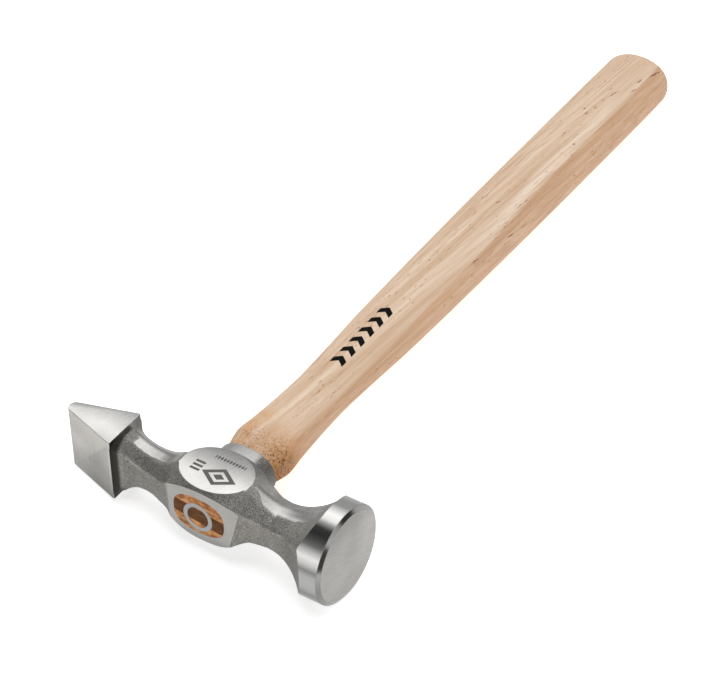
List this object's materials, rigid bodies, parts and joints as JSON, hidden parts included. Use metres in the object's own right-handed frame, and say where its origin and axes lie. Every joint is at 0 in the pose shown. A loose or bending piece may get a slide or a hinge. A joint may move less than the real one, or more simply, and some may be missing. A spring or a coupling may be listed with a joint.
{
  "type": "cross peen hammer",
  "caption": "Small cross peen hammer: round flat striking face, wedge-shaped cross peen, octagonal necks, oval eye and an oval wooden handle held by a wooden wedge and a round steel wedge.",
  "frame": {"origin": "middle of the round striking face", "axes": "+X out of the striking face, +Y from the head along the handle to the butt, +Z out of the upper cheek with the hammer lying on its side"},
  "size_m": [0.1142, 0.3125, 0.036],
  "materials": {
    "forged_steel": "shot-blasted forging with ground faces",
    "pale_hardwood": "sanded, unvarnished",
    "dark_hardwood": "sawn end grain",
    "mild_steel": "ground"
  },
  "bodies": {
    "root": {"head": "forged_steel", "handle": "pale_hardwood", "wooden_wedge": "dark_hardwood", "round_steel_wedge": "mild_steel"}
  },
  "joints": []
}
